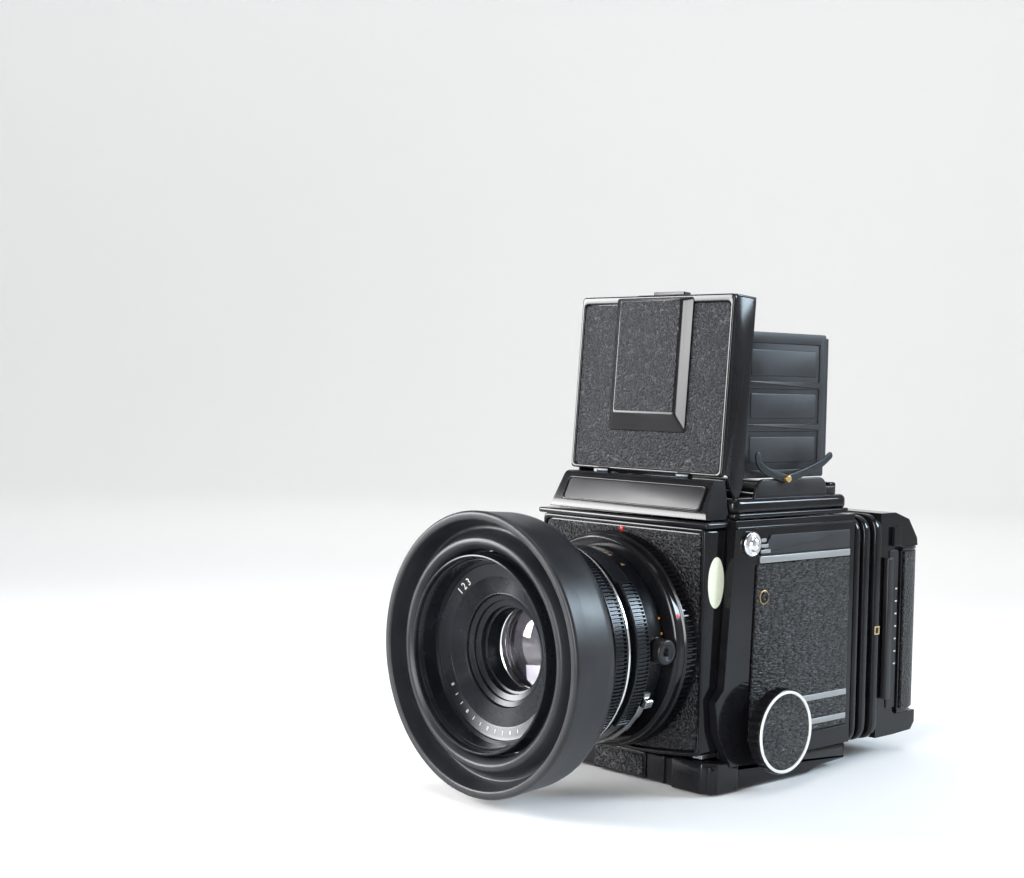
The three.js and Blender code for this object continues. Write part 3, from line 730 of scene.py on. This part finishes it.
def make_lens_controls():
    low, high = node_box("mirror_up_knob")
    y, z = (low[1] + high[1]) / 2, (low[2] + high[2]) / 2
    boss = lathe("mirror_up_boss", [(0, 38.6), (5.6, 38.6), (5.6, 40.0), (4.9, 40.1), (0, 40.1)], gloss,
        FRONT,
                 centre=(0, y, z), axis="x", segments=48, ease=0.2, closed=False)
    knob = lathe("mirror_up_socket", [
        (0, 40.3), (4.9, 40.3), (5.2, 40.8), (5.2, 44.9), (4.9, 45.5), (4.3, 45.7), (3.3, 45.7),
        (2.9, 45.3),
        (2.2, 45.2), (1.7, 44.8), (1.5, 43.4), (0, 43.2)], satin, "mirror_up_knob",
        centre=(0, y, z), axis="x", segments=64, ease=0.2, closed=False)
    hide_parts("mirror_up_knob")
    low, high = node_box("preview_lever")
    angle = np.radians(np.linspace(-128, -22, 60))
    rings = []
    section = eased([(41.6, -75.6), (42.9, -75.6), (42.9, -72.0), (41.6, -72.0)], 0.3, 3)
    for t in angle:
        wave = 0.28 * (math.sin(t * 230) > 0)
        rings.append([(r * math.cos(t) - (wave * math.cos(t) if r > 42.3 else 0), y,
                       AXIS_Z + r * math.sin(t) - (wave * math.sin(t) if r > 42.3 else 0)) for r,
                       y in section])
    strip = loft("preview_strip", rings, satin_alloy, "preview_lever", sharp=20)
    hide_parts("preview_lever")
    t = math.radians(-27)
    tip = []
    for r in (41.8, 42.4, 44.6, 45.2):
        half = 2.1 if r < 45 else 1.7
        tip.append([(r * math.cos(t) - b * math.sin(t), y, AXIS_Z + r * math.sin(t) + b * math.cos(t))
                    for b, y in eased([(-half, -76.2), (half, -76.2), (half, -71.6), (-half, -71.6)], 0.6,
                        3)])
    loft("preview_tip", tip, chrome, "preview_lever", sharp=40)
    dress("lens_flange", chrome)


make_hood()
make_filter_ring()
make_front_cone()
make_glass()
make_barrel()
make_lens_controls()


# ---- body ------------------------------------------------------------------------
BODY = "camera_body"
SIDES = ((1, "left"), (-1, "right"))


def mirrored(low, high, side):
    """A box given on the +X side, or its mirror image on the -X side."""
    if side > 0:
        return low, high
    return (-high[0], low[1], low[2]), (-low[0], high[1], high[2])


def dense(outline, step=2.0):
    """Adds points along the long edges of a closed outline."""
    outline = np.asarray(outline, float)
    out = []
    for a, b in zip(outline, np.roll(outline, -1, axis=0)):
        count = max(1, math.ceil(np.linalg.norm(b - a) / step))
        out.append(a + (b - a) * (np.arange(count) / count)[:, None])
    return np.concatenate(out)


def radial(outline, centre, radius):
    """The circle whose points lie on the rays from its centre to an outline's."""
    away = np.asarray(outline) - centre
    return centre + radius * away / np.linalg.norm(away, axis=1, keepdims=True)


def make_body():
    dress("body_shell", gloss, 0.8)
    bottom, top = 20.2, 94.6
    for side, name in SIDES:
        way = lambda a: side * (HALF + a)
        leather_edge = eased([(-25.2, bottom), (42.8, bottom), (42.8, top), (-22.2, top)], 1.2)
        cover = slab(f"side_leather_{name}_cover", leather_edge, "x", way(0.05), way(0.95), pebble_side,
            BODY, edge=0.35)
        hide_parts(f"side_leather_{name}")
        for i, (y0, z0, z1) in enumerate([(-20.6, 95.0, 97.9), (4, 32.9, 35.5), (4, 22.3, 24.7)]):
            low, high = mirrored((HALF + 0.05, y0, z0), (HALF + 1.15, 42.5, z1), side)
            box_piece(f"trim_stripe_{name}_{i + 1}", low, high, satin_alloy, BODY, 0.15, 0.3,
                "x")
        band_outline = eased([(-20.2, 98.5), (42.6, 98.5), (42.6, 106.6), (-13.2, 106.6)], 0.5)
        band = slab(f"name_band_{name}", band_outline, "x", way(0.05), way(0.7), dusky, BODY, edge=0.2)
        for i in range(3):
            z0 = 99.2 + 2.35 * i
            low, high = mirrored((HALF + 0.6, -20.4, z0), (HALF + 1.0, -14.0 - 1.5 * i, z0 + 1.45), side)
            box_piece(f"step_bar_{name}_{i + 1}", low, high, satin_alloy, BODY, 0.1, 0.2, "x")
        low, high = mirrored((HALF - 0.4, -35.4, 109.6), (HALF + 0.55, 45.5, 110.7), side)
        box_piece(f"top_bead_{name}", low, high, gloss, BODY, 0.35, 0.4, "x")
        low, high = mirrored((HALF - 0.4, -24, 18.4), (HALF + 0.5, 44.5, 19.3), side)
        box_piece(f"lower_bead_{name}", low, high, gloss, BODY, 0.3, 0.3, "x")
        profile = [(0, 51.9), (5.0, 51.9), (5.3, 52.5), (5.3, 53.4), (4.9, 54.0), (4.2, 54.3),
            (3.9, 54.0),
                   (3.2, 54.2), (2.6, 55.3), (1.7, 55.8), (1.0, 55.9), (0.7, 55.5), (0, 55.4)]
        if side < 0:
            profile = [(r, -x) for r, x in profile][::-1]
        lug = lathe(f"strap_stud_{name}", profile, chrome, BODY, centre=(0, -26.6, 103.4), axis="x",
            segments=64,
                    ease=0.3, closed=False)
        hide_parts(f"strap_lug_{name}")
    screw = lathe("side_contact", [(0, 52.6), (2.6, 52.6), (2.6, 53.4), (2.1, 53.8), (1.0, 53.6),
        (0, 53.1)], gloss,
                  BODY, centre=(0, -17.6, 80.6), axis="x", segments=40, ease=0.2, closed=False)
    rim = lathe("side_contact_rim", [(2.65, 52.6), (3.0, 52.6), (3.0, 53.2), (2.65, 53.3)], brass, BODY,
                centre=(0, -17.6, 80.6), axis="x", segments=40, ease=0.05)


def make_base():
    profile = eased([(-46.6, 1.6), (-45.2, 0), (20, 0), (30, 2.2), (46.6, 3), (46.6, 10.7), (-36, 10.7),
                     (-37, 12.2), (-46.6, 12.2)], 0.8)
    base = slab("base_casting", profile, "x", -50.6, 50.6, gloss, BODY, edge=1.6, steps=4)
    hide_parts("base_plate")
    chin = slab("chin_pad", rectangle(-14.2, 1.9, 14.2, 10.9, 1.0), "y", -48.2, -46.4, pebble, BODY,
        edge=0.5)
    lip = slab("chin_lip", rectangle(-15.4, 0.7, 15.4, 12.3, 1.2), "y", -47.5, -46, gloss, BODY, edge=0.5)
    for side, name in SIDES:
        foot_outline = eased([(side * 30.6, -46.4), (side * 30.6, -48.3), (side * 46.5, -48.0),
                              (side * 51.6, -43.6), (side * 51.6, -30.0), (side * 49.6, -28),
                              (side * 46, -40)], 0.8)
        if side < 0:
            foot_outline = foot_outline[::-1]
        foot = slab(f"foot_{name}", foot_outline, "z", 0.3, 13.4, gloss, BODY, edge=0.9)
        for i, x in enumerate((25.2, 29.4)):
            low, high = mirrored((x, -47.6, 0.8), (x + 0.9, -46.2, 12.6), side)
            box_piece(f"chin_bead_{name}_{i + 1}", low, high, gloss, BODY, 0.3, 0.3, "y")
    socket = lathe("tripod_socket", [(4.6, 0.2), (3.9, 0.5), (3.7, 1.0), (3.7, 7.5), (0, 7.8), (0, 8.4),
        (4.6, 8.4)],
                   steel, BODY, centre=(0, 12, 0), axis="z", segments=48, ease=0.1, closed=True)


def make_focus_drive():
    dress("focus_shaft", steel, 0.3)
    dress("focus_rack_left", steel, 0.3)
    dress("focus_rack_right", steel, 0.3)
    for side, name in SIDES:
        low, high = node_box(f"focus_knob_{name}")
        y, z = (low[1] + high[1]) / 2, (low[2] + high[2]) / 2
        face = max(abs(low[0]), abs(high[0]))
        r = (high[2] - low[2]) / 2
        profile = [(0, face - 8.5), (r - 4.5, face - 8.5), (r - 2.3, face - 7.4), (r - 1.1, face - 6.8),
            (r, face - 6.0),
                   (r, face - 5.6), (r, face - 1.6), (r, face - 1.2), (r - 0.5, face - 0.7),
                   (r - 0.9, face - 0.6),
                   (r - 0.9, face - 1.4), (0, face - 1.4)]
        if side < 0:
            profile = [(a, -b) for a, b in profile][::-1]
        near, far = sorted((side * (face - 6.2), side * (face - 1.1)))

        def scallops(angle, radius, position):
            """Thirty shallow flutes cut into the rim."""
            wave = 0.5 + 0.5 * np.cos(angle * 30)
            return 1.15 * wave ** 2 * ((position > near) & (position < far))
        knob = lathe(f"fluted_knob_{name}", profile, gloss, "focus_shaft", centre=(0, y, z), axis="x",
                     segments=360, ease=0.15, closed=False, relief=scallops)
        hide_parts(f"focus_knob_{name}")
        ring_profile = [(r - 2.0, face - 1.5), (r - 0.75, face - 1.5), (r - 0.7, face - 0.3),
            (r - 1.1, face),
                        (r - 1.7, face), (r - 2.0, face - 0.3)]
        disc_profile = [(0, face - 1.2), (r - 2.2, face - 1.2), (r - 2.3, face - 0.55), (0, face - 0.45)]
        if side < 0:
            ring_profile = [(a, -b) for a, b in ring_profile][::-1]
            disc_profile = [(a, -b) for a, b in disc_profile][::-1]
        lathe(f"knob_white_ring_{name}", ring_profile, white_ink, "focus_shaft", centre=(0, y, z),
                      axis="x", segments=128, ease=0.15)
        lathe(f"knob_leather_{name}", disc_profile, pebble_side, "focus_shaft", centre=(0, y, z),
            axis="x",
                      segments=96, ease=0.1, closed=False)


def make_standard():
    rise = [(47.6, 16.5), (37, 15), (26, 13.8), (14.5, 12.7)]
    outline = [(-x, z) for x, z in rise] + [(x, z) for x, z in rise[::-1]] + [(47.6, 110.3),
        (-47.6, 110.3)]
    radii = [2.5] + [6] * 6 + [2.5, 2.5, 2.5]
    outer = dense(eased(outline, radii, 5))
    inner = np.array([0, 61]) + (outer - [0, 61]) * 0.957
    walls = frame_slab("standard_walls", outer, inner, "y", -50.2, -36.6, gloss, FRONT, edge=0.7)
    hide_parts("front_standard")
    centre = np.array([0, AXIS_Z])
    backing_outline = np.array([0, 61]) + (outer - [0, 61]) * 0.975
    backing = frame_slab("standard_plate", backing_outline, radial(backing_outline, centre, 38.2), "y",
        -48.9, -46.2, gloss,
                         FRONT, edge=0.3)
    sheet_outline = np.array([0, 61]) + (outer - [0, 61]) * 0.947
    sheet = frame_slab("standard_leather", sheet_outline, radial(sheet_outline, centre, 40.5), "y", -50.0,
        -48.95,
                       pebble, FRONT, edge=0.35)
    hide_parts("front_leather")
    ledge = box_piece("standard_ledge", (-49.6, -51.7, 110.4), (49.6, -37.2, 112.7), gloss, FRONT, 0.7,
        1.2, "z")
    t = np.linspace(0, 2 * math.pi, 48, endpoint=False)
    oval = np.stack([-42.7 + 5.0 * np.cos(t), 87.8 + 10.6 * np.sin(t)], axis=1)
    slab("pale_sticker", oval, "x", 47.55, 47.75, sticker, FRONT, edge=0.05, steps=1)
    dot("mount_index", (0.5, -50.0, 107.0), (0, -1, 0), 1.0, red_ink, FRONT, 0.5)


def make_bellows():
    """Square pleated tube: each ring is a rounded square whose half-width swings
    between two sizes as a cosine of the distance along the lens axis."""
    y0, y1 = -36.9, -45.9
    folds = 8
    steps = folds * 6 + 1
    rings = []
    for i in range(steps):
        t = i / (steps - 1)
        half = 40.6 + 2.1 * math.cos(2 * math.pi * folds * t)
        rings.append(along(rectangle(-half, 61.5 - half, half, 61.5 + half, 4.0, 4), "y",
            y0 + (y1 - y0) * t))
    inside = [along(rectangle(-37.9, 61.5 - 37.9, 37.9, 61.5 + 37.9, 4.0, 4), "y", y) for y in (y1, y0)]
    tube = loft("pleated_bellows", rings + inside, matte, None, loop=True, sharp=50)
    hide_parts("bellows")
    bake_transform(tube)


# ---- finder ----------------------------------------------------------------------
LID_LEAN = math.radians(4.1)
LID_FOOT = Vector((0, -36.1, 130.8))
LID_HALF, LID_DEPTH, LID_HEIGHT = 44.4, 13.6, 77.0


def lean(piece):
    """Tilts a piece drawn with the lid upright back about the foot of the lid."""
    piece.data.transform(Matrix.Translation(LID_FOOT * MM) @ Matrix.Rotation(-LID_LEAN, 4, "X"))
    return piece


def make_finder_base():
    outer = dense(rectangle(-49.4, -33, 49.4, 47, 3.0), 4)
    well = lambda ring: np.clip(ring, [-41, -29], [41, 36.6])
    skirt = frame_slab("finder_skirt", outer, well(outer), "z", 113.6, 115.8, gloss, BODY, edge=0.6)
    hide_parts("finder_base")
    tier = dense(rectangle(-48.3, -32.6, 48.3, 46.4, 4.0), 4)
    frame_slab("finder_tier", tier, well(tier), "z", 115.2, 121.8, gloss, BODY, edge=2.4,
        steps=6)
    for side, name in SIDES:
        wall = eased([(-16, 121), (35, 121), (34, 127.6), (31, 129.6), (-11, 129.6), (-14, 127)], 1.5)
        slab(f"well_wall_{name}", wall, "x", side * 43.4, side * 45.2, satin, BODY, edge=0.5)
        box_piece(f"rear_catch_{name}", (side * 38 - 3.4, 41.6, 121.2),
            (side * 38 + 3.4, 46.8, 126.8), gloss,
                          BODY, 0.8, 1.2, "x")
    box_piece("rear_sill", (-42, 37.2, 121), (42, 45.6, 125.4), satin, BODY, 0.7, 1.0, "x")


def make_nameplate():
    profile = eased([(-48, 113.6), (-47.6, 115.6), (-41.4, 128.6), (-39.2, 129.6), (-33.4, 129.6),
        (-33.4, 113.6)],
                    [0.3, 1.6, 2.4, 1.2, 0.6, 0.3])
    spread = np.linspace(-1, 1, 25)
    rings = []
    for t in spread:
        ring = along(profile, "x", 0)
        flare = np.clip((ring[:, 2] - 113.6) / 16, 0, 1)
        half = 46.2 - 3.0 * np.sqrt(flare)
        ring[:, 0] = half * t
        rings.append(ring)
    block = loft("front_cover", rings, gloss, BODY)
    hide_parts("nameplate_block")
    slope = math.atan2(6.2, 13.0)
    place_on = Matrix.Translation(Vector((1.4, -44.75, 122.0)) * MM) @ Matrix.Rotation(-slope, 4, "X")
    border = frame_slab("front_cover_border", dense(rectangle(-40.4, -5.6, 40.4, 5.6, 1.8), 3),
                        dense(rectangle(-40.4, -5.6, 40.4, 5.6, 1.8), 3) * [0.982, 0.87], "y", -0.75, 0.4,
                        gloss, BODY,
                        edge=0.3)
    border.data.transform(place_on)
    plate = slab("front_cover_panel", rectangle(-39.6, -4.9, 39.6, 4.9, 1.2), "y", -0.28, 0.4, satin,
        BODY, edge=0.15)
    plate.data.transform(place_on)


def make_lid():
    face = dense(rectangle(-LID_HALF, 0, LID_HALF, LID_HEIGHT, 2.0), 3)
    middle = np.array([0, LID_HEIGHT / 2])
    window = middle + (face - middle) * [0.952, 0.934] - [0, 0.9]
    border = frame_slab("lid_border", face, window, "y", -0.9, 1.4, gloss, "lid", edge=0.7)
    sheet = slab("lid_sheet", rectangle(-43, 1, 43, 75.5, 1.5), "y", 0.3, 1.5, gloss, "lid", edge=0.2)
    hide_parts("lid")
    wall = eased([(0.6, 1.2), (4.2, 0.8), (4.4, -2), (8.6, -9.0), (10.8, -9.2), (LID_DEPTH, -2.6),
        (LID_DEPTH, 76.4),
                  (0.6, 76.4)], [0.4, 1.5, 2, 1, 1, 2, 1.2, 0.6])
    parts = [border, sheet]
    for side, name in SIDES:
        parts.append(slab(f"lid_side_{name}", wall, "x", side * (LID_HALF - 1.2), side * LID_HALF, gloss,
            "lid", edge=0.5))
    parts.append(box_piece("lid_top_wall", (-LID_HALF, 0.4, 75.4), (LID_HALF, LID_DEPTH, LID_HEIGHT),
        gloss, "lid",
                           0.5, 0.7, "x"))
    parts.append(box_piece("lid_tab", (-19, 6.6, 76.2), (9, 12.8, 78.3), gloss, "lid", 0.7, 2.2, "z"))
    rings = []
    levels = [(0.4, 0.0), (-0.6, 0.0), (-1.2, 0.25), (-2.9, 3.1), (-3.5, 3.9), (-3.7, 4.6)]
    for y, step in levels:
        low_step = step * 1.7
        rings.append(along(rectangle(-22.4 + step, 17.6 + low_step, 22.4 - step, 76.0 - step * 0.25, 1.6),
            "y", y))
    parts.append(loft("lid_bulge", rings, gloss, "lid"))
    panel = slab("bulge_leather", rectangle(-17.2, 26.2, 17.2, 74.2, 1.2), "y", -3.5, -4.15, pebble_fine,
        "lid", edge=0.25)
    lean(panel)
    leather = slab("lid_leather_sheet", rectangle(-42.2, 1.8, 42.2, 73.2, 2.2), "y", 0.3, -0.45,
        pebble_fine, "lid",
                   edge=0.2)
    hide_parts("lid_leather")
    lean(leather)
    for piece in parts:
        lean(piece)
    dress("lid_catch", satin, 0.4)
    dress("magnifier_frame", satin, 0.5)
    dress("magnifier_lens", glass)
    for side, name in SIDES:
        knuckle = lathe(f"lid_knuckle_{name}", [(0, 20), (1.5, 20), (1.5, 27), (0, 27)] if side > 0 else
                        [(0, -27), (1.5, -27), (1.5, -20), (0, -20)], dark_steel, BODY,
                            centre=(0, -36.6, 130.4),
                        axis="x", segments=24, ease=0.2, closed=False)


def make_panels():
    for side, name in SIDES:
        low, high = node_box(f"hood_panel_{name}")
        inner_x, outer_x = (low[0], high[0]) if side > 0 else (high[0], low[0])
        body = f"hood_panel_{name}"
        rim = dense(rectangle(-22, low[2], high[1], high[2], 1.2), 4)
        gap = np.clip(rim, [-18.4, low[2] + 3.4], [high[1] - 3.8, high[2] - 4.6])
        leaf = frame_slab(f"finder_side_{name}", rim, gap, "x", inner_x, outer_x, dusky, body, edge=0.25)
        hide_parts(f"hood_panel_{name}")
        sheet = slab(f"finder_side_sheet_{name}",
            rectangle(-19.6, low[2] + 1, high[1] - 2.6, high[2] - 2, 0.5), "x",
                     inner_x + side * 0.15, inner_x + side * 0.55, dusky, body, edge=0.1)
        for i, z in enumerate((151.7, 170.0)):
            bar = rectangle(-19, z - 1.9, high[1] - 3, z + 1.5, 0.3)
            slab(f"finder_side_bar_{name}_{i + 1}", bar, "x", inner_x + side * 0.2, outer_x,
                         dusky, body, edge=0.5)
        for i, (z0, z1) in enumerate([(136.4, 147.6), (155.4, 166.2), (173.6, 185.0)]):
            tray = rectangle(-16.6, z0, high[1] - 5.6, z1, 1.2)
            slab(f"finder_side_tray_{name}_{i + 1}", tray, "x", inner_x + side * 0.3,
                inner_x + side * 0.75,
                         dusky, body, edge=0.35)
    dress("hood_panel_rear", dusky, 0.4)


def make_stays():
    for side, name in SIDES:
        near = side * 45.4
        far = side * 46.4
        curved = curve_points([(-15.2, 139.6), (-14.2, 136.4), (-10.6, 133.6), (-4, 131.6), (4.2, 129.6)])
        straight = curve_points([(4.2, 129.6), (16, 132.2), (27, 135.4), (34, 139.2)])
        first = stay(f"stay_front_{name}", curved, 3.4, side * 0.9, dark_steel, BODY, near)
        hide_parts(f"hood_stay_{name}")
        stay(f"stay_rear_{name}", straight, 3.2, side * 0.8, dark_steel, BODY, far)
        profile = [(0, 45.2), (1.7, 45.2), (1.7, 47.6), (1.3, 48.0), (0, 48.0)]
        if side < 0:
            profile = [(r, -x) for r, x in profile][::-1]
        lathe(f"stay_pin_{name}", profile, brass, BODY, centre=(0, 4.2, 129.6), axis="x",
            segments=32,
                      ease=0.15, closed=False)


# ---- back ------------------------------------------------------------------------
BACK = "revolving_back"
DOOR_Y = 84.4


def make_adapter():
    window = lambda ring: np.clip(ring, [-38, AXIS_Z - 38], [38, AXIS_Z + 38])
    layers = [(48.8, 52.6, 51.8), (52.2, 56.4, 49.4), (56.0, 60.4, 51.6), (60.0, 64.6, 49.4),
        (64.2, 69.3, 51.8)]
    for i, (y0, y1, half) in enumerate(layers):
        square = dense(rectangle(-half, AXIS_Z - half, half, AXIS_Z + half, 9, 8), 5)
        ridge = frame_slab(f"adapter_ridge_{i + 1}", square, window(square), "y", y0, y1, gloss, BACK,
            edge=1.3, steps=4)
        if i == 0:
            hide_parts("revolving_adapter")
    outer = dense(rectangle(65.0, 57.2, 68.6, 61.0, 0.4), 1)
    inner = outer * 0.72 + np.array([66.8, 59.1]) * 0.28
    mark = frame_slab("index_mark_side", outer, inner,
                      "x", 51.7, 51.95, gold_ink, BACK, edge=0.05, steps=1)
    dress("adapter_seat", chrome)
    dress("back_lock", chrome, 0.5)


def bulge_outline(amount, steps=14):
    """Half of the back's outline seen from above, for both sides: quarter rounds of
    one radius joined by straight flanks to a flat between them."""
    half, radius = 51.8 - amount, 13 - amount
    rear = 103.6 - amount
    right = []
    for t in np.linspace(0, 0.75 * math.pi, steps):
        right.append((half - radius + radius * math.cos(t), rear - radius + radius * math.sin(t)))
    right.append((20, 97.6 - amount))
    right = [(half, DOOR_Y)] + right
    return np.array(right + [(-x, y) for x, y in right[::-1]])


def make_back():
    dress("film_back_frame", gloss, 0.9)
    skin = np.concatenate([bulge_outline(0), bulge_outline(2.0)[::-1]])
    shell = slab("door_shell", skin, "z", 19, 96, gloss, "back_door", edge=0.5)
    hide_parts("back_door")
    for name, z0, z1 in [("bottom", 19.0, 21.2), ("top", 93.8, 96.0)]:
        slab(f"door_{name}", bulge_outline(0.3), "z", z0, z1, gloss, "back_door", edge=0.6)
    slab("door_lip", bulge_outline(-1.0), "z", 94.6, 96.6, gloss, "back_door", edge=0.7)
    wrap = np.concatenate([bulge_outline(-0.9), bulge_outline(-0.02)[::-1]])
    wrap[:, 1] = np.maximum(wrap[:, 1], DOOR_Y + 2)
    cover = slab("door_covering", wrap, "z", 21, 94.2, pebble_back, "back_door", edge=0.25)
    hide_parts("door_leather")
    dress("pressure_plate", steel, 0.4)
    dress("supply_spool", matte, 0.3)
    dress("takeup_spool", matte, 0.3)
    dress("wind_lever", gloss, 0.6)
    for side, name in SIDES:
        strip = slab(f"back_strip_{name}", eased([(76.8, 22), (83.6, 22), (83.6, 95), (76.8, 95)], 0.8),
            "x",
                     side * 50.4, side * 51.1, satin, BACK, edge=0.25)
        for i in range(7):
            z = 42 + 5.8 * i
            low, high = mirrored((51.0, 81.4, z), (51.25, 82.8, z + 0.7), side)
            box_piece(f"strip_tick_{name}_{i + 1}", low, high, white_ink, BACK, 0.05, 0.1, "x")
    low, high = node_box("dark_slide")
    dress("dark_slide", satin, 0.2)
    grip = box_piece("dark_slide_grip", (high[0] - 2.7, low[1] - 0.6, 27),
        (high[0] + 0.2, low[1] + 3.4, 92.0), satin,
                     "dark_slide", 0.6, 0.9, "z")
    dress("door_latch", gloss, 0.4)


def make_side_controls():
    dress("cocking_lever", gloss, 0.8)
    dress("focus_lock_lever", chrome, 0.4)
    dress("shutter_button", chrome, 0.3)
    dress("button_collar", satin, 0.2)


make_body()
make_base()
make_focus_drive()
make_standard()
make_bellows()
make_finder_base()
make_nameplate()
make_lid()
make_panels()
make_stays()
make_adapter()
make_back()
make_side_controls()
dress("mirror_frame", satin, 0.3)
dress("mirror", mirror_look)
dress("focusing_screen", screen_glass, 0.2)
